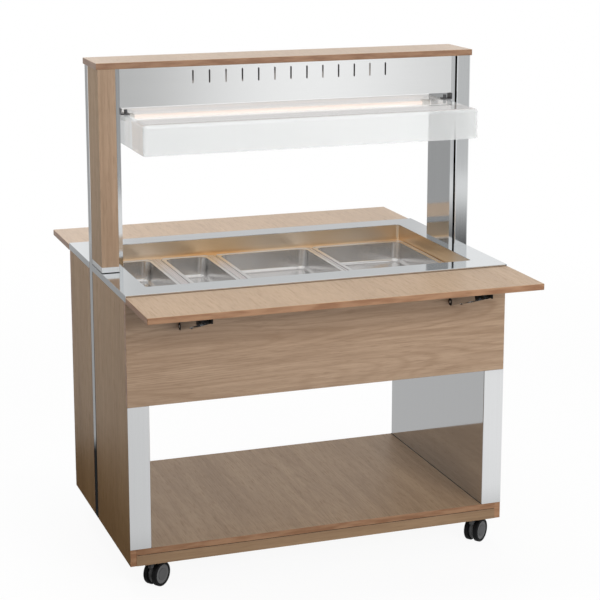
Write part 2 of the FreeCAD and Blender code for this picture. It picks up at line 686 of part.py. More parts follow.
# ---- sneeze guard -------------------------------------------------------------------
def guard_hull(inset, back, low):
    """Outer or inner form of the hood, rounded at its front and side edges."""
    radius = GUARD_R - inset
    half = GUARD_X - inset
    hull = block((-half, half), (GUARD_FRONT + inset, back), (low, GUARD_TOP - inset))
    chosen = []
    for edge in hull.Edges:
        box = edge.BoundBox
        front = box.YMax < GUARD_FRONT + inset + 1e-3
        upright = box.ZLength > PAST
        side_top = box.ZMin > GUARD_TOP - inset - 1e-3 and box.YLength > PAST
        front_top = front and box.ZMin > GUARD_TOP - inset - 1e-3
        if (front and upright) or side_top or front_top:
            chosen.append(edge)
    return hull.makeFillet(radius, chosen)


def sneeze_guard():
    """Clear moulded hood: top, front and two cheeks, open below and behind."""
    outside = guard_hull(0.0, GUARD_BACK, GUARD_Z)
    inside = guard_hull(GUARD_T, GUARD_BACK + GUARD_R, GUARD_Z - GUARD_R)
    hole = rod(GUARD_SHANK_R + RUN, V(-WORKTOP_W, GUARD_PIVOT_Y, GUARD_PIVOT_Z),
               V(WORKTOP_W, GUARD_PIVOT_Y, GUARD_PIVOT_Z))
    return outside.cut(inside).cut(hole)


def guard_knob():
    """Round clamp knob inside the left cheek, with its shank and a spacer on the column."""
    cheek_in = GUARD_X - GUARD_T

    def disc(radius, x0, x1):
        return rod(radius, V(-x0, GUARD_PIVOT_Y, GUARD_PIVOT_Z), V(-x1, GUARD_PIVOT_Y, GUARD_PIVOT_Z))

    spacer = disc(GUARD_SPACER_R, INNER_X, GUARD_X + FIT)
    shank = disc(GUARD_SHANK_R, INNER_X, cheek_in - GUARD_KNOB_T)
    head = disc(GUARD_KNOB_R, cheek_in - FIT, cheek_in - FIT - GUARD_KNOB_T)
    rim = [e for e in head.Edges if e.BoundBox.XMin > GUARD_KNOB_T / 2 - cheek_in]
    head = head.makeChamfer(CHAMFER, rim)
    return spacer.fuse([shank, head]).removeSplitter()


def guard_clip():
    """Small angle on the column that stops the hood below the canopy."""
    x = (-INNER_X, -INNER_X + CLIP_X)
    y = (-COLUMN_Y - CLIP_OUT, -COLUMN_Y - CLIP_OUT + CLIP_Y)
    low = GUARD_TOP + FIT
    foot = block((x[0], x[0] + CLIP_T), y, (low, CANOPY_Z - FIT))
    blade = block(x, y, (low, low + CLIP_T))
    axis = V(x[1] - CLIP_PAD_IN, sum(y) / 2, low)
    pad = rod(CLIP_PAD_R, axis, axis + V(0, 0, CLIP_PAD_H))
    return foot.fuse([blade, pad]).removeSplitter()


# ---- folding shelves ----------------------------------------------------------------
def shelf():
    return eased(block((-WORKTOP_W / 2, WORKTOP_W / 2), (SHELF_Y0, SHELF_Y1),
                       (SHELF_Z, SHELF_TOP)), 2 * EASE)


def hinge_bracket(x):
    """Cranked half of a shelf hinge: plate on the apron, two knuckles and the pin."""
    half = HINGE_W / 2
    face = -HALF_D
    plate_top = WORKTOP_Z - WORKTOP_EDGE - FIT
    plate = block((-half, half), (face - HINGE_PLATE, face),
                  (plate_top - HINGE_PLATE_DROP, plate_top))
    arm = block((-half, half), (AXIS_Y, face), (AXIS_Z - HINGE_R, AXIS_Z - HINGE_R + HINGE_PLATE))
    knuckle = rod(HINGE_R, V(-half, AXIS_Y, AXIS_Z), V(half, AXIS_Y, AXIS_Z))
    gap = HINGE_CENTRE_W / 2 + FIT
    room = block((-gap, gap), (AXIS_Y - HINGE_R - PAST, face - HINGE_PLATE - HINGE_SLOT),
                 (AXIS_Z - HINGE_R - PAST, AXIS_Z + HINGE_R + PAST))
    pin = rod(HINGE_PIN_R, V(-half, AXIS_Y, AXIS_Z), V(half, AXIS_Y, AXIS_Z))
    bracket = plate.fuse([arm, knuckle]).cut(room).fuse(pin).removeSplitter()
    return moved(bracket, x)


def hinge_leaf(x):
    """Leaf screwed under the shelf, with the middle knuckle."""
    half = HINGE_W / 2
    centre = HINGE_CENTRE_W / 2
    leaf = block((-half, half), (AXIS_Y - LEAF_Y, AXIS_Y + HINGE_R), (SHELF_Z - LEAF_T, SHELF_Z))
    web = block((-centre, centre), (AXIS_Y - HINGE_R, AXIS_Y + PAST), (AXIS_Z, SHELF_Z))
    knuckle = rod(HINGE_R, V(-centre, AXIS_Y, AXIS_Z), V(centre, AXIS_Y, AXIS_Z))
    bore = rod(HINGE_PIN_R + RUN, V(-half, AXIS_Y, AXIS_Z), V(half, AXIS_Y, AXIS_Z))
    return moved(leaf.fuse([web, knuckle]).cut(bore).removeSplitter(), x)


def stay_foot(x):
    """Bracket on the apron with two ears and the pivot pin of one stay."""
    across, thick, high = FOOT_PLATE
    face = -HALF_D
    plate = block((-across / 2, across / 2), (face - thick, face),
                  (STAY_FOOT_Z - FOOT_PLATE_LOW, STAY_FOOT_Z - FOOT_PLATE_LOW + high))
    pieces = []
    for side in (-1, 1):
        x0 = side * (across / 2) - (FOOT_EAR_T if side > 0 else 0)
        ear = block((x0, x0 + FOOT_EAR_T), (STAY_Y, face),
                    (STAY_FOOT_Z - FOOT_EAR_R, STAY_FOOT_Z + FOOT_EAR_R))
        nose = rod(FOOT_EAR_R, V(x0, STAY_Y, STAY_FOOT_Z), V(x0 + FOOT_EAR_T, STAY_Y, STAY_FOOT_Z))
        pieces += [ear, nose]
    reach = STAY_INSIDE / 2 + STAY_ARM_T + STAY_PIN_HEAD
    pin = rod(STAY_PIN_R, V(-reach, STAY_Y, STAY_FOOT_Z), V(reach, STAY_Y, STAY_FOOT_Z))
    sleeve = rod(STAY_PIN_R + STAY_SLEEVE_T, V(-across / 2, STAY_Y, STAY_FOOT_Z),
                 V(across / 2, STAY_Y, STAY_FOOT_Z))
    return moved(plate.fuse(pieces + [pin, sleeve]).removeSplitter(), x)


def stay(x):
    """Swinging strut: two tapered arms joined by a bar at the tip."""
    foot = V(0, STAY_Y, STAY_FOOT_Z)
    tip = V(0, TIP_Y, STAY_TIP_Z)
    run = tip.sub(foot)
    length = run.Length
    along = V(run).normalize()
    across = V(0, -along.z, along.y)
    lean = math.asin((STAY_END_R - STAY_TIP_R) / length)

    def touch(centre, radius, side):
        out = across * (side * math.cos(lean)) + along * math.sin(lean)
        return centre + out * radius

    flank = [touch(foot, STAY_END_R, 1), touch(tip, STAY_TIP_R, 1),
             touch(tip, STAY_TIP_R, -1), touch(foot, STAY_END_R, -1)]
    web = prism(flank, V(STAY_ARM_T, 0, 0))
    ends = [rod(STAY_END_R, foot, foot + V(STAY_ARM_T, 0, 0)),
            rod(STAY_TIP_R, tip, tip + V(STAY_ARM_T, 0, 0))]
    arm = web.fuse(ends)
    inside = STAY_INSIDE / 2
    left = moved(arm, -inside - STAY_ARM_T)
    right = moved(arm, inside)
    half_bar = V(inside + STAY_ARM_T / 2, 0, 0)
    bar = rod(STAY_BAR_R, tip - half_bar, tip + half_bar)
    through = V(inside + STAY_ARM_T + PAST, 0, 0)
    bore = rod(STAY_PIN_R + RUN, foot - through, foot + through)
    return moved(left.fuse([right, bar]).cut(bore).removeSplitter(), x)


def saddle(x):
    """Rail under the shelf: a shallow hollow rests on the bar of the stay, a nose stops the bar."""
    low = SHELF_Z - SADDLE_Z
    nose = SHELF_Z - NOSE_Z
    outline = [(TIP_Y + SADDLE_BACK, SHELF_Z), (TIP_Y + SADDLE_BACK, low), (TIP_Y - NOSE_RAMP[0], low),
               (TIP_Y - NOSE_RAMP[1], nose), (TIP_Y - NOSE_Y, nose), (TIP_Y - NOSE_Y, SHELF_Z)]
    body = prism([V(x - SADDLE_T / 2, y, z) for y, z in outline], V(SADDLE_T, 0, 0))
    centre_z = low + SADDLE_DIP - SADDLE_R
    dip = rod(SADDLE_R, V(x - SADDLE_T, TIP_Y, centre_z), V(x + SADDLE_T, TIP_Y, centre_z))
    return body.cut(dip)


def make_shelves():
    save("front_shelf", shelf())
    save("rear_shelf", half_turn(shelf()))
    brackets = [hinge_bracket(x) for x in HINGE_XS]
    save("shelf_hinge_brackets", *(brackets + [half_turn(b) for b in brackets]))
    leaves = [hinge_leaf(x) for x in HINGE_XS]
    save("front_hinge_leaves", *leaves)
    save("rear_hinge_leaves", *[half_turn(leaf) for leaf in leaves])
    feet = [stay_foot(x) for x in (-STAY_X, STAY_X)]
    save("stay_feet", *(feet + [half_turn(foot) for foot in feet]))
    stays = [stay(x) for x in (-STAY_X, STAY_X)]
    save("front_stays", *stays)
    save("rear_stays", *[half_turn(piece) for piece in stays])
    saddles = [saddle(side * STAY_X + off) for side in (-1, 1) for off in (-SADDLE_OFF, SADDLE_OFF)]
    save("front_saddles", *saddles)
    save("rear_saddles", *[half_turn(piece) for piece in saddles])


# ---- casters ------------------------------------------------------------------------
def caster_stem():
    """Flange under the bottom board with the kingpin, at the origin in plan."""
    flange = rod(FLANGE_R, V(0, 0, CASTER_TOP - FLANGE_T), V(0, 0, CASTER_TOP))
    kingpin = rod(KINGPIN_R, V(0, 0, NECK_Z + KINGPIN_UP), V(0, 0, CASTER_TOP))
    return flange.fuse(kingpin).removeSplitter()


def caster_housing():
    """Body between the wheels and the neck that turns on the kingpin, trailing along -Y."""
    half = HOUSING_T / 2
    axle = V(0, -CASTER_TRAIL, WHEEL_R)
    side = V(half, 0, 0)
    plate = rod(HOUSING_R, axle - side, axle + side)
    top = CASTER_TOP - FLANGE_T - FIT
    back = -CASTER_TRAIL - WEB_BACK
    outline = [(back, WHEEL_R + WEB_LOW), (NECK_R, WHEEL_R + WEB_LOW),
               (NECK_R, NECK_Z + WEB_TOP), (back + WEB_LEAN, NECK_Z + WEB_TOP)]
    web = prism([V(-half, y, z) for y, z in outline], V(HOUSING_T, 0, 0))
    neck = rod(NECK_R, V(0, 0, NECK_Z), V(0, 0, top))
    neck = neck.makeChamfer(CHAMFER, [e for e in neck.Edges if e.BoundBox.ZMin > top - 1e-3])
    bore = rod(KINGPIN_R + RUN, V(0, 0, NECK_Z + KINGPIN_UP - KINGPIN_GAP), V(0, 0, CASTER_TOP))
    axle_bore = rod(AXLE_R + RUN, axle - side * 2, axle + side * 2)
    return plate.fuse([web, neck]).cut(bore).cut(axle_bore).removeSplitter()


def wheel():
    """Right-hand wheel about the X axis: tread round at its outer edge, sunk hub disc, raised cap."""
    inner = WHEEL_GAP / 2
    outer = WHEEL_W / 2
    hub = outer - HUB_STEP
    tread = rod(WHEEL_R, V(inner, 0, 0), V(outer, 0, 0))
    tread = tread.makeFillet(WHEEL_EDGE, [e for e in tread.Edges if e.BoundBox.XMin > outer - 1e-3])
    recess = rod(HUB_R, V(hub, 0, 0), V(outer + PAST, 0, 0))
    cap = rod(HUB_R - HUB_RING, V(hub - PAST, 0, 0), V(outer, 0, 0))
    return tread.cut(recess).fuse(cap)


def caster_wheels():
    """Two wheels and their common axle, trailing along -Y."""
    right = wheel()
    left = right.mirror(V(0, 0, 0), X_AXIS)
    reach = WHEEL_GAP / 2 + PAST
    axle = rod(AXLE_R, V(-reach, 0, 0), V(reach, 0, 0))
    pair = axle.fuse([right, left]).removeSplitter()
    return moved(pair, 0, -CASTER_TRAIL, WHEEL_R)


def make_casters():
    stems = []
    for name, sx, sy in (("front_left", -1, -1), ("front_right", 1, -1),
                         ("rear_left", -1, 1), ("rear_right", 1, 1)):
        def place(shape):
            turned = shape.copy()
            turned.rotate(V(0, 0, 0), Z_AXIS, CASTER_AXLE)
            return moved(turned, sx * CASTER_X, sy * CASTER_Y)

        stems.append(place(caster_stem()))
        save("caster_housing_" + name, place(caster_housing()))
        save("caster_wheels_" + name, place(caster_wheels()))
    save("caster_stems", *stems)


# ---- build --------------------------------------------------------------------------
os.makedirs("parts", exist_ok=True)
make_cabinet()
make_worktop()
make_columns()
make_canopy()
save("thermostat_knob", thermostat_knob())
save("thermostat_body", thermostat_body())
save("mains_inlet", mains_inlet())
save("sneeze_guard", sneeze_guard())
save("guard_knobs", guard_knob(), guard_knob().mirror(V(0, 0, 0), X_AXIS))
save("guard_clips", guard_clip(), guard_clip().mirror(V(0, 0, 0), X_AXIS))
make_shelves()
make_casters()
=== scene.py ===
"""Looks of the heated buffet trolley: finishes, small fittings, studio and camera.

Metres, X to the right, front at -Y, Z up from the floor, as in the frame.
"""
import json
import math

import bmesh
import bpy
from mathutils import Euler, Matrix, Vector


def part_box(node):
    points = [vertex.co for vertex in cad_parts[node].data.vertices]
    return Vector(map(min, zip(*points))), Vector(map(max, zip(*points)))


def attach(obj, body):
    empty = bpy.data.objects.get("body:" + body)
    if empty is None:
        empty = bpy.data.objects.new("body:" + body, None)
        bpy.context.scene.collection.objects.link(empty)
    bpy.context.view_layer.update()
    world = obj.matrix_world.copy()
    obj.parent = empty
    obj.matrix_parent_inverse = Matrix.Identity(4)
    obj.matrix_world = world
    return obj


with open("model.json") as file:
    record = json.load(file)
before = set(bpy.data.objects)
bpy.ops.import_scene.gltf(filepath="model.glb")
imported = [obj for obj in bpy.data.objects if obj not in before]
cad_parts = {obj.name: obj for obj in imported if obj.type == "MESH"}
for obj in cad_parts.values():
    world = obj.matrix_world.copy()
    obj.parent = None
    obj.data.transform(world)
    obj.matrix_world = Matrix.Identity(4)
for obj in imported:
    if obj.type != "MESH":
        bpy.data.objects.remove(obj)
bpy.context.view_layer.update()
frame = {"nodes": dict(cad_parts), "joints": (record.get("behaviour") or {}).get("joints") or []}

NODES = frame["nodes"]
JOINTS = {joint["name"]: joint for joint in frame["joints"]}
X, Y, Z = 0, 1, 2
CORNERS = ("front_left", "front_right", "rear_left", "rear_right")
SIDES = (-1, 1)                         # left or front, right or rear
WHITE = (1.0, 1.0, 1.0, 1.0)

# ---- camera, from the outline of the object in the photograph ------------------------
IMAGE_SIDE = 600.0                      # pixels
CAMERA_PLACE = (-1.7385, -5.0704, 2.1095)
CAMERA_YAW = -19.53                     # degrees, turned towards +X
CAMERA_PITCH = -11.71
FOCAL_PIXELS = 1744.7
CENTRE_UP_PIXELS = 75.0                 # how far the lens centre lies above the middle
SENSOR = 36.0
FAR_CLIP = 100.0

# ---- light ---------------------------------------------------------------------------
AMBIENT = 0.36                          # strength of the world on the object
MIDDLE = (0.0, 0.0, 0.9)                # of the trolley, where most lamps aim
LAMPS = [                               # name, place, aim, width and height, watts
    ("key", (0.9, -4.2, 2.2), MIDDLE, (2.2, 1.6), 107.0),
    ("top", (0.0, 0.8, 5.5), MIDDLE, (4.0, 3.0), 118.0),
    ("back", (0.5, 4.5, 2.4), MIDDLE, (2.5, 1.5), 36.0),
    ("left", (-2.2, 0.0, 2.2), (-0.6, 0.0, 0.7), (1.2, 1.0), 9.5),
]
# Cards: name, both ends on the floor, lowest and highest height, how soft the borders are,
# and (share of the length, tone) along it.
CARDS = [
    ("card_back_left", (-4.2, 3.4), (-1.0, 5.0), (-0.3, 2.8), 0.3, [(0.0, 0.42), (1.0, 0.42)]),
    ("card_back", (0.2, 4.0), (2.5, 4.0), (1.0, 2.8), 0.35, [(0.0, 0.7), (1.0, 0.7)]),
    ("card_front", (0.0, -6.0), (4.4, -6.0), (-0.4, 2.0), 0.2, [
        (0.0, 0.42), (0.24, 0.42), (0.34, 0.82), (0.45, 1.0),
        (0.57, 1.0), (0.66, 0.82), (0.72, 0.68), (1.0, 0.6),
    ]),
]

# ---- floor ---------------------------------------------------------------------------
FLOOR_HALF = 14.0
FLOOR_BOUNCE = (0.45, 0.45, 0.45, 1.0)  # colour in the light that the floor throws back
FLOOR_BOUNCE_LEFT = (0.05, 0.032, 0.016, 1.0)   # the same beside the left wall
FLOOR_PALE = (0.95, 0.95, 0.95, 1.0)    # what takes the object's shadow
FLOOR_WHITE = 0.93                      # share of plain white in the floor that is seen
MIRRORED_BESIDE = 0.02                  # tones of the floor in a mirror: beside the left wall
MIRRORED_SPOT = 0.03                    # and in a dark spot in front, on the right
SPOT_PLACE = (2.3, -3.7, 0.0)
SPOT_R, SPOT_SOFT = 1.0, 0.9

# ---- places on the CAD pieces that the finishes and fittings follow ------------------
STAY_ROOT_R = 0.0135                    # end of the black part at a stay's pivot
STAY_TIP_R = 0.181                      # start of the black part at its tip
FOOT_X = 0.425                          # middle of a stay's foot
FOOT_FACE_Y = 0.373                     # face of its plate
FOOT_SCREW_Z = (0.8275, 0.8405)
STAY_HALF_X = 0.019                     # middle of a stay to its outer side
EARS_GAP_HALF_X = 0.0116                  # between the ears of the foot
HUB_R = 0.0286                          # grey disc of a caster wheel
CAP_R = 0.0186                          # darker cap in its middle
BLADE_FRONT = 0.004                     # face of the inlet to the front end of its blades
BLADE_BACK = 0.0175
BLADE_HALF_X, BLADE_HALF_Z = 0.0085, 0.0055
BEND_START = 0.003                      # front of the hood to its band of painted shade
BEND_END = 0.085
BEND_LOW = 0.007                        # top of the hood down to the lower end of the band
LEAF_X = (-0.52, 0.0, 0.52)             # middles of the hinge leaves
LEAF_PLATE_Y = 0.42                     # the flat part of a leaf lies past this
LEAF_SCREW_DX = 0.015                   # middle of the leaf to its screws
LEAF_SCREW_Y = (0.414, 0.434)
INLET_SCREW_DX = 0.0197

# ---- sizes of the small fittings -----------------------------------------------------
SCREW_SIDES = 28
SCREW_PROFILE = [                       # share of the radius, height
    (1.0, -0.0002), (1.0, 0.0003), (0.93, 0.0006), (0.72, 0.0010),
    (0.44, 0.0012), (0.40, 0.0011), (0.36, 0.0004), (0.0, 0.0003),
]
FOOT_SCREW_R, LEAF_SCREW_R, INLET_SCREW_R = 0.0030, 0.0032, 0.0026
# radii of the thin dark beads that paint the shadow lines at the joints
LINING_SHADE_LINE_R, PLINTH_SHADE_LINE_R, COLUMN_SHADE_LINE_R = 0.0011, 0.0008, 0.0012
LINING_SHADE_LINE_SINK = 0.0004               # face of the wall lining to the middle of the bead
LINING_SHADE_LINE_END = 0.0005                # edge of the board to the end of the bead
PLINTH_SHADE_LINE_SINK = 0.0002
PLINTH_SHADE_LINE_END = 0.002
COLUMN_SHADE_LINE_UP = 0.0009                 # foot of the collar up to the middle of the bead
TICKS, TICK_STEP = 10, 30.0             # ticks of the scale, degrees from one to the next
TICK_NEAR, TICK_FAR, TICK_GROWTH = 0.0240, 0.0262, 0.00022
TICK_HALF, TICK_HALF_GROWTH = 0.0004, 0.00006
TICK_TAPER = 0.6                        # width of the inner end to that of the outer end
TICK_PROUD, TICK_SINK = 0.00025, 0.0001


def srgb(red, green, blue):
    """Linear colour from 0-255 display values."""
    def linear(value):
        c = value / 255.0
        return c / 12.92 if c <= 0.04045 else ((c + 0.055) / 1.055) ** 2.4
    return (linear(red), linear(green), linear(blue), 1.0)


# ---- node helpers --------------------------------------------------------------------
def add(tree, kind, inputs=None, **settings):
    """A node with its settings; its inputs take values or other nodes' sockets."""
    made = tree.nodes.new(kind)
    for name, value in settings.items():
        setattr(made, name, value)
    for name, value in (inputs or {}).items():
        if isinstance(value, bpy.types.NodeSocket):
            tree.links.new(value, made.inputs[name])
        else:
            made.inputs[name].default_value = value
    return made


def math_node(tree, operation, a, b=0.0):
    return add(tree, "ShaderNodeMath", {0: a, 1: b}, operation=operation).outputs[0]


def times(tree, a, b):
    return math_node(tree, "MULTIPLY", a, b)


def size_of(tree, value):
    return math_node(tree, "ABSOLUTE", value)


def away_from(tree, value, middle):
    """How far value lies from middle, on either side."""
    return size_of(tree, math_node(tree, "SUBTRACT", value, middle))


def vector_math(tree, operation, a, b):
    return add(tree, "ShaderNodeVectorMath", {0: a, 1: b}, operation=operation).outputs[0]


def scaled(tree, vector, scale):
    return vector_math(tree, "MULTIPLY", vector, scale)


def length_of(tree, vector):
    return add(tree, "ShaderNodeVectorMath", {0: vector}, operation="LENGTH").outputs[1]


def noise(tree, vector, detail=2.0, roughness=0.5, distortion=0.0):
    made = add(tree, "ShaderNodeTexNoise", {
        "Vector": vector, "Scale": 1.0, "Detail": detail,
        "Roughness": roughness, "Distortion": distortion,
    })
    return made.outputs["Fac"]


def ramp(tree, value, low, high, to_low=0.0, to_high=1.0, smooth=True):
    """value between low and high becomes to_low to to_high."""
    made = add(tree, "ShaderNodeMapRange", {
        "Value": value, "From Min": low, "From Max": high, "To Min": to_low, "To Max": to_high,
    }, interpolation_type="SMOOTHSTEP" if smooth else "LINEAR")
    return made.outputs["Result"]


def beyond(tree, value, limit, soft):
    """0 up to limit, 1 from limit + soft."""
    return ramp(tree, value, limit, limit + soft)


def within(tree, value, limit, soft):
    """1 up to limit, 0 from limit + soft."""
    return ramp(tree, value, limit, limit + soft, 1.0, 0.0)


def mix(tree, factor, a, b, blend="MIX"):
    made = add(tree, "ShaderNodeMix", data_type="RGBA", blend_type=blend, clamp_factor=True)
    for socket, value in (("Factor_Float", factor), ("A_Color", a), ("B_Color", b)):
        target = next(s for s in made.inputs if s.identifier == socket)
        if isinstance(value, bpy.types.NodeSocket):
            tree.links.new(value, target)
        else:
            target.default_value = value
    return next(s for s in made.outputs if s.identifier == "Result_Color")


def shades(tree, factor, a, b):
    """Between two colours given as display values."""
    return mix(tree, factor, srgb(*a), srgb(*b))


def mix_value(tree, factor, a, b):
    return add(tree, "ShaderNodeMix", {0: factor, 2: a, 3: b}, data_type="FLOAT").outputs[0]


def bump(tree, height, distance):
    made = add(tree, "ShaderNodeBump", {"Height": height, "Distance": distance, "Strength": 1.0})
    return made.outputs["Normal"]


def split(tree, vector):
    return add(tree, "ShaderNodeSeparateXYZ", {0: vector}).outputs


def joined(tree, x, y, z=0.0):
    return add(tree, "ShaderNodeCombineXYZ", {"X": x, "Y": y, "Z": z}).outputs[0]


def place_of(tree):
    return add(tree, "ShaderNodeTexCoord").outputs["Object"]


def spots(tree, scale, **settings):
    """Noise fixed to the object; scale is one number or one for each axis, per metre."""
    if not isinstance(scale, tuple):
        scale = (scale, scale, scale)
    return noise(tree, scaled(tree, place_of(tree), scale), **settings)


def new_material(name, **values):
    """Material with one principled shader; values are its constant sockets."""
    made = bpy.data.materials.new(name)
    made.use_nodes = True
    shader = made.node_tree.nodes["Principled BSDF"]
    for socket, value in values.items():
        shader.inputs[socket.replace("_", " ")].default_value = value
    return made, made.node_tree, shader


def connect(tree, shader, **sources):
    """Links sources to the shader's sockets."""
    for socket, source in sources.items():
        tree.links.new(source, shader.inputs[socket.replace("_", " ")])


# ---- wood ----------------------------------------------------------------------------
def wood_figure():
    """Node group: grain space (across, along, through) in metres to the figure of the wood."""
    group = bpy.data.node_groups.new("wood_figure", "ShaderNodeTree")
    group.interface.new_socket("Place", in_out="INPUT", socket_type="NodeSocketVector")
    for name in ("Tone", "Rings", "Pores"):
        group.interface.new_socket(name, in_out="OUTPUT", socket_type="NodeSocketFloat")
    place = group.nodes.new("NodeGroupInput").outputs["Place"]
    out = group.nodes.new("NodeGroupOutput")

    def figure(across, along, **settings):
        """Noise of so many spots per metre across and along the grain."""
        return noise(group, scaled(group, place, (across, along, across)), **settings)

    # growth rings: even lines, bent into hills and made to waver, fading out in patches
    phase = times(group, split(group, place)[0], 60.0)
    phase = math_node(group, "ADD", phase, times(group, figure(5.0, 0.55, detail=1.0), 40.0))
    phase = math_node(group, "ADD", phase, times(group, figure(34.0, 4.0), 1.2))
    wave = math_node(group, "SINE", times(group, phase, 2 * math.pi))
    ring = math_node(group, "POWER", ramp(group, wave, -1.0, 1.0, smooth=False), 3.0)
    patches = figure(7.0, 1.1, detail=1.0)
    ring = times(group, ring, ramp(group, patches, 0.36, 0.62, 0.2, 1.0))

    # pores: fine ones everywhere, and longer dashes
    fine, dashes = figure(760.0, 20.0), figure(240.0, 14.0)
    pores = math_node(group, "MAXIMUM", ramp(group, fine, 0.52, 0.72),
                      times(group, ramp(group, dashes, 0.58, 0.72), 0.8))

    # tone: broad bands, streaks and fibres, which add up to 1
    tone = ramp(group, figure(9.0, 0.7, detail=1.5), 0.3, 0.7, 0.0, 0.34)
    streaks = figure(46.0, 2.6, distortion=0.3)
    tone = math_node(group, "ADD", tone, ramp(group, streaks, 0.32, 0.68, 0.0, 0.4))
    fibres = figure(190.0, 5.0)
    tone = math_node(group, "ADD", tone, ramp(group, fibres, 0.3, 0.7, 0.0, 0.26))
    for name, socket in (("Tone", tone), ("Rings", ring), ("Pores", pores)):
        group.links.new(socket, out.inputs[name])
    return group


WOOD_FIGURE = wood_figure()
OAK = srgb(178, 148, 116)
OAK_SPREAD = (0.072, 0.056, 0.038)      # half the way from the dark to the light tone
OAK_RING = srgb(142, 112, 84)
OAK_PORE = srgb(120, 92, 66)
OAK_FOOT_SHADE = (0.70, 0.60, 0.42, 1.0)      # painted shade: share of its colour that a board keeps at its foot
OAK_FOOT_SHADE_Z = 0.08                       # painted shade in full up to this height
BAND_LIGHT = srgb(178, 137, 105)        # edge band
BAND_DARK = srgb(152, 110, 80)


def oak_tone(sign, strength, painted_light_tint):
    """Light (1) or dark (-1) tone of the board, with the figure's strength, scaled by painted
    light and shade.
    """
    return tuple((c + sign * strength * spread) * share
                 for c, spread, share in zip(OAK, OAK_SPREAD, painted_light_tint)) + (1.0,)


def wood(name, face, along, shift=0.0, rings=0.3, figure_strength=0.6, painted_light_tint=(1.0, 1.0, 1.0),
         edge=1.0, coat=0.2, gloss=0.4, foot=None):
    """Oak laminate with a redder edge band on its narrow faces.

    face is the axis that the broad faces look along, along the axis of the grain. shift picks
    another stretch of the figure. The tint is painted light and shade: it makes the broad faces
    lighter, darker or greyer for how the light falls on them. edge scales the colour of the
    narrow faces. foot is the height under which the board is painted darker towards the bottom,
    as painted shade.
    """
    made, tree, shader = new_material(name, Coat_Weight=coat, Coat_Roughness=0.3,
                                      Specular_IOR_Level=gloss)
    parts = split(tree, place_of(tree))
    place = joined(tree, parts[3 - face - along], parts[along], parts[face])
    place = vector_math(tree, "ADD", place, (shift, shift * 2.3, shift))
    figure = add(tree, "ShaderNodeGroup", {"Place": place}, node_tree=WOOD_FIGURE).outputs
    board = mix(tree, figure["Tone"], oak_tone(-1, figure_strength, painted_light_tint),
                oak_tone(1, figure_strength, painted_light_tint))
    board = mix(tree, times(tree, figure["Rings"], rings), board, OAK_RING)
    board = mix(tree, times(tree, figure["Pores"], 0.4), board, OAK_PORE)
    # painted shade: the board darker towards the bottom
    if foot:
        deep = within(tree, parts[Z], OAK_FOOT_SHADE_Z, foot - OAK_FOOT_SHADE_Z)
        board = mix(tree, deep, board, OAK_FOOT_SHADE, blend="MULTIPLY")

    normal = add(tree, "ShaderNodeTexCoord").outputs["Normal"]
    is_edge = within(tree, size_of(tree, split(tree, normal)[face]), 0.55, 0.2)
    patches = spots(tree, (11.0, 11.0, 60.0), detail=3.0)
    band_dark, band_light = [tuple(c * edge for c in colour[:3]) + (1.0,)
                             for colour in (BAND_DARK, BAND_LIGHT)]
    band = mix(tree, ramp(tree, patches, 0.35, 0.65), band_dark, band_light)
    connect(tree, shader,
            Base_Color=mix(tree, is_edge, board, band),
            Roughness=ramp(tree, figure["Pores"], 0.0, 1.0, 0.4, 0.55, smooth=False),
            Normal=bump(tree, times(tree, figure["Pores"], -1.0), 0.0001))
    return made


# ---- metal ---------------------------------------------------------------------------
def steel(name, tone, roughness, along, contrast=3, streak=0.02, relief=0.000004, warm=None):
    """Stainless sheet with fine grinding lines along one axis.

    contrast and streak are how far its tone and roughness vary, and warm is the display
    colour of warmer clouds laid over the sheet.
    """
    made, tree, shader = new_material(name, Metallic=1.0, Anisotropic=0.3)
    stretch = tuple(2.0 if axis == along else 380.0 for axis in (X, Y, Z))
    lines = spots(tree, stretch, detail=3.0, roughness=0.6)
    colour = shades(tree, ramp(tree, lines, 0.3, 0.7), [v - contrast for v in tone],
                    [v + contrast for v in tone])
    if warm:
        clouds = spots(tree, 3.0, detail=1.0)
        colour = mix(tree, ramp(tree, clouds, 0.35, 0.65, 0.2, 1.0), colour, srgb(*warm))
    connect(tree, shader, Base_Color=colour, Normal=bump(tree, lines, relief),
            Roughness=ramp(tree, lines, 0.2, 0.8, roughness - streak, roughness + streak,
                           smooth=False))
    return made


def chrome():
    made, tree, shader = new_material("chrome", Metallic=1.0)
    smudge = spots(tree, 60.0)
    connect(tree, shader, Base_Color=shades(tree, smudge, (222, 224, 226), (236, 237, 238)),
            Roughness=ramp(tree, smudge, 0.3, 0.7, 0.06, 0.14))
    return made


def stay_steel(side):
    """Plated strut, black at both ends, told apart by the distance from the pivot."""
    pivot = tuple(JOINTS[side + "_stay_swing"]["pos_m"])
    made, tree, shader = new_material(side + "_stay_steel", Specular_IOR_Level=0.15)
    arm = vector_math(tree, "SUBTRACT", place_of(tree), pivot)
    radius = length_of(tree, scaled(tree, arm, (0.0, 1.0, 1.0)))
    metal = times(tree, beyond(tree, radius, STAY_ROOT_R, 0.0007),
                  within(tree, radius, STAY_TIP_R, 0.001))
    smudge = spots(tree, 80.0)
    plated = shades(tree, smudge, (196, 198, 200), (214, 216, 217))
    black = shades(tree, smudge, (9, 9, 10), (16, 16, 17))
    connect(tree, shader, Base_Color=mix(tree, metal, black, plated), Metallic=metal,
            Roughness=ramp(tree, metal, 0.0, 1.0, 0.55, 0.12))
    return made


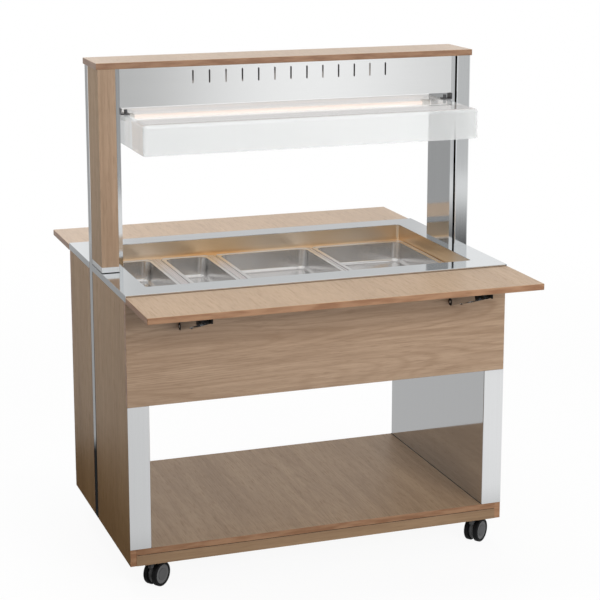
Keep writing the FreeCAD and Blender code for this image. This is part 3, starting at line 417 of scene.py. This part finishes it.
def foot_steel():
    """Bright zinc plate and ears of the stays' feet, darker between the ears."""
    made, tree, shader = new_material("foot_steel", Metallic=0.55)
    parts = split(tree, place_of(tree))
    stay_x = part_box("front_stays")[1].x - STAY_HALF_X
    off = away_from(tree, size_of(tree, parts[X]), stay_x)
    proud = beyond(tree, size_of(tree, parts[Y]), FOOT_FACE_Y + 0.0005, 0.001)
    # darker between the ears
    between_ears = times(tree, within(tree, off, EARS_GAP_HALF_X, 0.0004), proud)
    smudge = spots(tree, 90.0)
    zinc = shades(tree, smudge, (214, 216, 218), (230, 231, 232))
    dark = shades(tree, smudge, (52, 53, 55), (70, 71, 73))
    connect(tree, shader, Base_Color=mix(tree, between_ears, zinc, dark),
            Roughness=ramp(tree, smudge, 0.3, 0.7, 0.28, 0.36))
    return made


# ---- plastics and the rest -----------------------------------------------------------
def moulded(name, dark, light, roughness=0.5, gloss=0.5):
    """Plastic, rubber or paint with a fine eroded grain."""
    made, tree, shader = new_material(name, Specular_IOR_Level=gloss)
    cloud = spots(tree, 40.0)
    connect(tree, shader, Base_Color=shades(tree, cloud, dark, light),
            Roughness=ramp(tree, cloud, 0.3, 0.7, roughness - 0.06, roughness + 0.06),
            Normal=bump(tree, spots(tree, 900.0), 0.00004))
    return made


def clear_acrylic():
    """Moulded acrylic, milky partly as a painted veil of reflected white, with painted shade on
    its front curve.
    """
    made, tree, shader = new_material("clear_acrylic", IOR=1.49, Transmission_Weight=0.66)
    haze = spots(tree, 5.0)
    low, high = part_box("sneeze_guard")
    parts = split(tree, place_of(tree))
    from_front = math_node(tree, "SUBTRACT", parts[Y], low.y)
    # painted shade: a grey band along the front curve, where the thick sheet looks dark
    bend_shade = times(tree, beyond(tree, from_front, BEND_START, 0.006),
                 within(tree, from_front, BEND_END, 0.04))
    bend_shade = times(tree, bend_shade, beyond(tree, parts[Z], high.z - BEND_LOW, 0.003))
    clear = shades(tree, haze, (231, 233, 233), (237, 238, 238))
    connect(tree, shader, Base_Color=mix(tree, bend_shade, clear, srgb(186, 182, 179)),
            Roughness=ramp(tree, haze, 0.3, 0.7, 0.03, 0.05))
    return made


def glowing_tube():
    """Quartz heat tube with its winding glowing inside."""
    made, tree, shader = new_material("glowing_tube", Roughness=0.2, Emission_Strength=0.72)
    coil = add(tree, "ShaderNodeTexWave", {
        "Vector": place_of(tree), "Scale": 90.0, "Distortion": 0.0,
    }, wave_type="BANDS", bands_direction="X")
    colour = shades(tree, coil.outputs["Fac"], (250, 222, 204), (252, 232, 218))
    connect(tree, shader, Emission_Color=colour, Base_Color=colour)
    return made


def glow_reflector():
    """Bright annealed sheet over the tube; the tube's light on it is painted in as a glow."""
    made = steel("steel_reflector", (246, 245, 246), 0.25, along=X, contrast=1)
    shader = made.node_tree.nodes["Principled BSDF"]
    # painted light: the glow of the tube on the sheet
    shader.inputs["Emission Color"].default_value = srgb(255, 248, 244)
    shader.inputs["Emission Strength"].default_value = 0.36
    return made


def caster_wheel(corner):
    """Black tread and grey hub disc, told apart by the distance from the axle at rest."""
    low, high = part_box("caster_wheels_" + corner)
    axle = Vector(JOINTS["roll_" + corner]["axis"]).normalized()
    made, tree, shader = new_material("caster_wheels_" + corner, Specular_IOR_Level=0.2)
    arm = vector_math(tree, "SUBTRACT", place_of(tree), tuple((low + high) / 2))
    radius = length_of(tree, vector_math(tree, "CROSS_PRODUCT", arm, tuple(axle)))
    cloud = spots(tree, 60.0)
    tread = shades(tree, cloud, (9, 9, 10), (16, 16, 17))
    hub = shades(tree, cloud, (102, 102, 103), (116, 116, 117))
    cap = shades(tree, cloud, (88, 88, 89), (100, 100, 101))
    colour = mix(tree, beyond(tree, radius, HUB_R, 0.0006), hub, tread)
    colour = mix(tree, beyond(tree, radius, CAP_R, 0.0006), cap, colour)
    connect(tree, shader, Base_Color=colour,
            Roughness=ramp(tree, radius, 0.028, 0.03, 0.4, 0.65),
            Normal=bump(tree, spots(tree, 1200.0), 0.00003))
    return made


def inlet_finish():
    """Black moulding; the blades deep in the pocket are plated."""
    low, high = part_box("mains_inlet")
    middle = (low + high) / 2
    made, tree, shader = new_material("inlet_black", Roughness=0.42)
    parts = split(tree, place_of(tree))
    depth = math_node(tree, "SUBTRACT", high.y, parts[Y])
    blade = times(tree, within(tree, away_from(tree, parts[X], middle.x), BLADE_HALF_X, 0.001),
                  within(tree, away_from(tree, parts[Z], middle.z), BLADE_HALF_Z, 0.0007))
    blade = times(tree, blade, times(tree, beyond(tree, depth, BLADE_FRONT, 0.001),
                                     within(tree, depth, BLADE_BACK, 0.001)))
    cloud = spots(tree, 300.0)
    black = shades(tree, cloud, (15, 15, 16), (27, 27, 28))
    plated = shades(tree, cloud, (190, 186, 176), (206, 203, 194))
    connect(tree, shader, Base_Color=mix(tree, blade, black, plated), Metallic=blade)
    return made


# ---- finishes of the CAD nodes -------------------------------------------------------
def paint(material, *names):
    for name in names:
        slots = NODES[name].data.materials
        if not len(slots):
            slots.append(material)
        for i in range(len(slots)):
            slots[i] = material


def both_ends(*names):
    return [name.format(end) for name in names for end in ("left", "right")]


def paint_wood():
    # painted light and shade: the tints make the same oak lighter, darker or greyer per face, for
    # its light
    paint(wood("oak_front_shelf", face=Z, along=Y, shift=0.37, rings=0.12, edge=0.94,
               painted_light_tint=(0.97, 0.98, 0.99)), "front_shelf")
    paint(wood("oak_rear_shelf", face=Z, along=Y, shift=0.37, rings=0.12, edge=0.94,
               painted_light_tint=(1.03, 1.03, 1.03), coat=0.7), "rear_shelf")
    paint(wood("oak_top_board", face=Z, along=Y, shift=1.9, rings=0.12, edge=0.78, coat=0.7),
          "top_board")
    paint(wood("oak_apron", face=Y, along=X, shift=0.11, rings=0.4, figure_strength=1.3,
               painted_light_tint=(0.95, 0.97, 1.08), coat=0.5), "apron_front", "apron_rear")
    paint(wood("oak_plinth", face=Y, along=X, shift=2.7, figure_strength=1.3,
               painted_light_tint=(0.69, 0.65, 0.61)), "plinth_rails")
    paint(wood("oak_side", face=X, along=Z, shift=3.1, rings=0.2, figure_strength=0.9, coat=0.0,
               gloss=0.35, foot=0.5), *both_ends("outer_panel_{}_front", "outer_panel_{}_rear"))
    paint(wood("oak_column_side", face=X, along=Z, shift=3.1, rings=0.2, figure_strength=0.9,
               coat=0.0, gloss=0.35, painted_light_tint=(0.92, 0.92, 0.92)), *both_ends("column_side_board_{}"))
    paint(wood("oak_column_face", face=Y, along=Z, shift=6.3, rings=0.08, figure_strength=1.2,
               painted_light_tint=(0.93, 0.95, 1.06), coat=0.5), *both_ends("column_face_board_{}"))
    paint(wood("oak_floor", face=Z, along=Y, shift=5.2, rings=0.25, figure_strength=1.0,
               edge=0.86, coat=0.0, gloss=0.33), "bottom_board")


def paint_steel():
    paint(steel("steel_worktop", (209, 212, 214), 0.10, along=X), "worktop")
    paint(steel("steel_well", (230, 216, 198), 0.3, along=X, contrast=1, streak=0.01,
                relief=0.000001, warm=(228, 194, 150)), "well_tank")
    paint(steel("steel_bars", (202, 196, 196), 0.28, along=Y), "pan_bars")
    paint(steel("steel_pans", (214, 213, 212), 0.2, along=Y),
          *both_ends("pan_small_{}", "pan_large_{}"))
    paint(steel("steel_canopy", (241, 242, 242), 0.16, along=X, contrast=1, streak=0.01),
          "canopy_front_panel", "canopy_rear_panel")
    # dark grey sheet, painted darker also for the shade inside the canopy
    paint(steel("steel_ribs", (96, 97, 98), 0.4, along=Z), "canopy_ribs")
    paint(steel("steel_column", (214, 216, 217), 0.09, along=Z, contrast=2),
          *both_ends("column_cover_{}", "post_{}"))
    paint(steel("steel_collar", (236, 237, 238), 0.3, along=Z), "column_collars")
    paint(steel("steel_lining", (214, 215, 216), 0.06, along=Z, contrast=1, streak=0.01),
          *both_ends("wall_lining_{}"), "under_tray")
    paint(glow_reflector(), "reflector")
    paint(steel("steel_heater", (170, 166, 160), 0.45, along=Y), "heating_plates")
    paint(chrome(), "shelf_hinge_brackets", "guard_knobs",
          "front_hinge_leaves", "rear_hinge_leaves")
    paint(foot_steel(), "stay_feet")
    for side in ("front", "rear"):
        paint(stay_steel(side), side + "_stays")
    paint(steel("caster_zinc", (160, 162, 164), 0.35, along=Z), "caster_stems")


def paint_rest():
    paint(moulded("grey_steel", (70, 70, 72), (86, 86, 88), roughness=0.4), "guard_clips")
    paint(moulded("black_plastic", (14, 14, 15), (24, 24, 25)),
          "thermostat_knob", "thermostat_body")
    paint(moulded("saddle_black", (7, 7, 8), (13, 13, 14), gloss=0.2),
          "front_saddles", "rear_saddles")
    paint(moulded("ceramic", (214, 206, 192), (228, 222, 210)), "tube_holders")
    paint(inlet_finish(), "mains_inlet")
    paint(glowing_tube(), "heat_tube")
    paint(clear_acrylic(), "sneeze_guard")
    hood = NODES["sneeze_guard"]
    hood.visible_shadow = False             # the clear sheet lets the light through
    hood.visible_glossy = False             # and doesn't show in the canopy's sheet
    housing = moulded("caster_grey", (84, 84, 85), (98, 98, 99), roughness=0.45, gloss=0.3)
    for corner in CORNERS:
        paint(housing, "caster_housing_" + corner)
        paint(caster_wheel(corner), "caster_wheels_" + corner)


# ---- small fittings ------------------------------------------------------------------
def new_object(name, data):
    made = bpy.data.objects.new(name, data)
    bpy.context.scene.collection.objects.link(made)
    return made


def piece(name, solid, material, body, smooth=False):
    """An object from a bmesh, riding on a body."""
    mesh = bpy.data.meshes.new(name)
    solid.to_mesh(mesh)
    solid.free()
    for polygon in mesh.polygons:
        polygon.use_smooth = smooth
    mesh.materials.append(material)
    made = new_object(name, mesh)
    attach(made, body)


def add_screw(solid, place, direction, radius):
    """Low domed head with a round drive recess."""
    turn = Vector((0, 0, 1)).rotation_difference(Vector(direction)).to_matrix().to_4x4()
    turn = Matrix.Translation(place) @ turn
    rings = []
    for share, height in SCREW_PROFILE[:-1]:
        ring = []
        for i in range(SCREW_SIDES):
            angle = 2 * math.pi * i / SCREW_SIDES
            x, y = math.cos(angle) * share * radius, math.sin(angle) * share * radius
            ring.append(solid.verts.new(turn @ Vector((x, y, height))))
        rings.append(ring)
    steps = [(i, (i + 1) % SCREW_SIDES) for i in range(SCREW_SIDES)]
    for outer, inner in zip(rings, rings[1:]):
        for i, j in steps:
            solid.faces.new((outer[i], outer[j], inner[j], inner[i]))
    middle = solid.verts.new(turn @ Vector((0, 0, SCREW_PROFILE[-1][1])))
    for i, j in steps:
        solid.faces.new((rings[-1][i], rings[-1][j], middle))
    solid.faces.new(list(reversed(rings[0])))


def screws(name, places, direction, body, radius):
    solid = bmesh.new()
    for place in places:
        add_screw(solid, Vector(place), direction, radius)
    piece(name, solid, SCREW_FINISH, body, smooth=True)


def seal(name, runs, radius):
    """Thin dark beads of painted shade on the trolley along straight runs; one of more than two
    points closes.
    """
    curve = bpy.data.curves.new(name, "CURVE")
    curve.dimensions = "3D"
    curve.bevel_depth = radius
    curve.bevel_resolution = 2
    curve.use_fill_caps = True
    for run in runs:
        spline = curve.splines.new("POLY")
        spline.points.add(len(run) - 1)
        for point, place in zip(spline.points, run):
            point.co = tuple(place) + (1.0,)
        spline.use_cyclic_u = len(run) > 2
    curve.materials.append(SHADE_LINE_AND_PRINT_FINISH)
    made = new_object(name, curve)
    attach(made, "trolley")


def make_seals():
    """Dark beads of painted shade where the board meets the wall linings, over the plinth, and
    round the columns.
    """
    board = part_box("bottom_board")[1]
    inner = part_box("wall_lining_right")[0].x - LINING_SHADE_LINE_SINK
    end = board.y - LINING_SHADE_LINE_END
    seal("lining_shade_lines", [[(side * inner, -end, board.z), (side * inner, end, board.z)]
                          for side in SIDES], LINING_SHADE_LINE_R)
    low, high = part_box("plinth_rails")
    face = high.y - PLINTH_SHADE_LINE_SINK
    seal("plinth_shade_lines", [[(low.x + PLINTH_SHADE_LINE_END, side * face, high.z),
                           (high.x - PLINTH_SHADE_LINE_END, side * face, high.z)]
                          for side in SIDES], PLINTH_SHADE_LINE_R)
    loops = []
    for side in SIDES:
        collar = [v.co for v in NODES["column_collars"].data.vertices if v.co.x * side > 0]
        z = min(v.z for v in collar) + COLUMN_SHADE_LINE_UP
        x0, x1 = min(v.x for v in collar), max(v.x for v in collar)
        y0, y1 = min(v.y for v in collar), max(v.y for v in collar)
        loops.append([(x0, y0, z), (x1, y0, z), (x1, y1, z), (x0, y1, z)])
    seal("column_shade_lines", loops, COLUMN_SHADE_LINE_R)


def make_screws():
    for side, where in zip(SIDES, ("front", "rear")):
        plates = [(x, side * FOOT_FACE_Y, z) for x in (-FOOT_X, FOOT_X) for z in FOOT_SCREW_Z]
        screws("foot_screws_" + where, plates, (0, side, 0), "trolley", FOOT_SCREW_R)
        under = min(v.co.z for v in NODES[where + "_hinge_leaves"].data.vertices
                    if abs(v.co.y) > LEAF_PLATE_Y)
        leaves = [(x + dx, side * y, under) for x in LEAF_X
                  for dx in (-LEAF_SCREW_DX, LEAF_SCREW_DX) for y in LEAF_SCREW_Y]
        screws("leaf_screws_" + where, leaves, (0, 0, -1), where + "_shelf", LEAF_SCREW_R)
    low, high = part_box("mains_inlet")
    middle = (low + high) / 2
    screws("inlet_screws", [(middle.x + side * INLET_SCREW_DX, high.y, middle.z)
                            for side in SIDES], (0, 1, 0), "trolley", INLET_SCREW_R)


def make_scale():
    """Plain printed ticks round the thermostat knob, growing towards the hot end."""
    centre = Vector(JOINTS["thermostat_turn"]["pos_m"])
    solid = bmesh.new()
    for i in range(TICKS):
        angle = math.radians(TICK_STEP * i)
        out = Vector((math.sin(angle), 0, math.cos(angle)))
        side = Vector((math.cos(angle), 0, -math.sin(angle)))
        far = TICK_FAR + TICK_GROWTH * i
        half = TICK_HALF + TICK_HALF_GROWTH * i
        inner, outer = side * half * TICK_TAPER, side * half
        corners = [out * TICK_NEAR - inner, out * TICK_NEAR + inner,
                   out * far + outer, out * far - outer]
        top = [solid.verts.new(centre + c + Vector((0, TICK_PROUD, 0))) for c in corners]
        base = [solid.verts.new(centre + c - Vector((0, TICK_SINK, 0))) for c in corners]
        solid.faces.new(top)
        solid.faces.new(list(reversed(base)))
        for a in range(4):
            b = (a + 1) % 4
            solid.faces.new((top[b], top[a], base[a], base[b]))
    piece("thermostat_scale", solid, SHADE_LINE_AND_PRINT_FINISH, "trolley")


# ---- studio --------------------------------------------------------------------------
def ray_kinds(tree):
    """Rays that see the studio: straight or through a clear piece, and by a mirror."""
    path = add(tree, "ShaderNodeLightPath").outputs
    direct = math_node(tree, "MAXIMUM", path["Is Camera Ray"], path["Is Transmission Ray"])
    return direct, path["Is Glossy Ray"]


def flat_face(name, corners):
    """Object of one face, with a material of its own that is still empty."""
    mesh = bpy.data.meshes.new(name)
    mesh.from_pydata(corners, [], [(0, 1, 2, 3)])
    material = bpy.data.materials.new(name)
    material.use_nodes = True
    material.node_tree.nodes.clear()
    mesh.materials.append(material)
    return new_object(name, mesh), material.node_tree


def diffuse(tree, colour):
    return add(tree, "ShaderNodeBsdfDiffuse", {"Color": colour}).outputs[0]


def glow(tree, colour=WHITE, strength=1.0):
    return add(tree, "ShaderNodeEmission", {"Color": colour, "Strength": strength}).outputs[0]


def either(tree, factor, a, b):
    """Shader a where factor is 0, b where it is 1."""
    return add(tree, "ShaderNodeMixShader", {0: factor, 1: a, 2: b}).outputs[0]


def surface(tree, shader):
    add(tree, "ShaderNodeOutputMaterial", {"Surface": shader})


def mirrored_floor_tone(tree, x, y, away):
    """How bright mirrors see the floor.

    It is dim beside and behind the left wall, pale in front but for one dark spot, and white
    far away.
    """
    behind = ramp(tree, x, -0.9, -0.3, 0.38, 0.57)
    ahead = ramp(tree, x, -0.5, 1.0, 0.78, 1.05, smooth=False)
    tone = mix_value(tree, within(tree, y, -0.9, 0.45), behind, ahead)
    beside = times(tree, within(tree, x, -0.65, 0.1), within(tree, y, 0.92, 0.2))
    beside = times(tree, beside, beyond(tree, y, -1.4, 0.7))
    tone = mix_value(tree, beside, tone, MIRRORED_BESIDE)
    off = length_of(tree, vector_math(tree, "SUBTRACT", joined(tree, x, y), SPOT_PLACE))
    tone = mix_value(tree, within(tree, off, SPOT_R, SPOT_SOFT), tone, MIRRORED_SPOT)
    return mix_value(tree, beyond(tree, away, 4.0, 3.0), tone, 1.0)


def make_floor():
    """Pale floor: plain white to the camera, but for the object's soft shadow."""
    half = FLOOR_HALF
    floor, tree = flat_face("floor", [(-half, -half, 0), (half, -half, 0),
                                      (half, half, 0), (-half, half, 0)])
    place = place_of(tree)
    parts = split(tree, place)
    x, y = parts[X], parts[Y]
    away = length_of(tree, place)
    direct, mirrored = ray_kinds(tree)

    left = times(tree, within(tree, x, -0.62, 0.06), beyond(tree, x, -1.6, 0.5))
    bounce = diffuse(tree, mix(tree, left, FLOOR_BOUNCE, FLOOR_BOUNCE_LEFT))
    image = glow(tree, strength=mirrored_floor_tone(tree, x, y, away))
    share = ramp(tree, away, 2.0, 4.5, FLOOR_WHITE, 1.0)
    seen = either(tree, share, diffuse(tree, FLOOR_PALE), glow(tree))
    surface(tree, either(tree, direct, either(tree, mirrored, bounce, image), seen))


def make_world():
    world = bpy.data.worlds.new("studio")
    bpy.context.scene.world = world
    world.use_nodes = True
    tree = world.node_tree
    back = tree.nodes["Background"]
    back.inputs["Color"].default_value = WHITE
    seen = math_node(tree, "MAXIMUM", *ray_kinds(tree))
    strength = ramp(tree, seen, 0.0, 1.0, AMBIENT, 1.0, smooth=False)
    tree.links.new(strength, back.inputs["Strength"])


def make_lights():
    for name, place, aim, size, power in LAMPS:
        data = bpy.data.lights.new(name, "AREA")
        data.shape = "RECTANGLE"
        data.size, data.size_y = size
        data.energy = power
        lamp = new_object(name, data)
        lamp.location = place
        lamp.rotation_euler = (Vector(aim) - Vector(place)).to_track_quat("-Z", "Y").to_euler()
        lamp.visible_glossy = False         # the cards and the floor are what metal mirrors


def reflector_card(name, start, end, heights, softness, tones):
    """Upright card between two points of the floor that only mirrors see."""
    start, end = Vector(start + (0.0,)), Vector(end + (0.0,))
    length = (end - start).length
    low, high = heights
    card, tree = flat_face(name, [(0.0, 0.0, low), (length, 0.0, low),
                                  (length, 0.0, high), (0.0, 0.0, high)])
    card.location = start
    card.rotation_euler = (0, 0, math.atan2(end.y - start.y, end.x - start.x))
    for kind in ("camera", "diffuse", "transmission", "shadow"):
        setattr(card, "visible_" + kind, False)

    parts = split(tree, place_of(tree))
    solid = None
    for value, first, last in ((parts[X], 0.0, length), (parts[Z], low, high)):
        for border in (beyond(tree, value, first, softness),
                       within(tree, value, last - softness, softness)):
            solid = times(tree, solid, border) if solid else border
    share = ramp(tree, parts[X], 0.0, length, smooth=False)
    along = add(tree, "ShaderNodeValToRGB", {"Fac": share})
    stops = along.color_ramp.elements
    for i, (place, tone) in enumerate(tones):
        stop = stops[i] if i < len(stops) else stops.new(place)
        stop.position = place
        stop.color = (tone, tone, tone, 1.0)
    clear = add(tree, "ShaderNodeBsdfTransparent").outputs[0]
    surface(tree, either(tree, solid, clear, glow(tree, along.outputs["Color"])))


def make_cards():
    for values in CARDS:
        reflector_card(*values)


def make_camera():
    data = bpy.data.cameras.new("camera")
    data.sensor_width = SENSOR
    data.lens = FOCAL_PIXELS / IMAGE_SIDE * SENSOR
    data.shift_y = -CENTRE_UP_PIXELS / IMAGE_SIDE
    data.clip_end = FAR_CLIP
    camera = new_object("camera", data)
    camera.location = CAMERA_PLACE
    camera.rotation_euler = Euler((math.radians(90 + CAMERA_PITCH), 0, math.radians(CAMERA_YAW)))
    bpy.context.scene.camera = camera


paint_wood()
paint_steel()
paint_rest()
SCREW_FINISH = steel("screw_zinc", (186, 188, 190), 0.3, along=Z)
# black of the beads of painted shade at the joints, and of the printed ticks
SHADE_LINE_AND_PRINT_FINISH = moulded("shade_line_and_print_black", (24, 23, 23), (36, 34, 33), gloss=0.2)
make_seals()
make_screws()
make_scale()
make_floor()
make_world()
make_lights()
make_cards()
make_camera()
bpy.context.scene.view_settings.view_transform = "Standard"
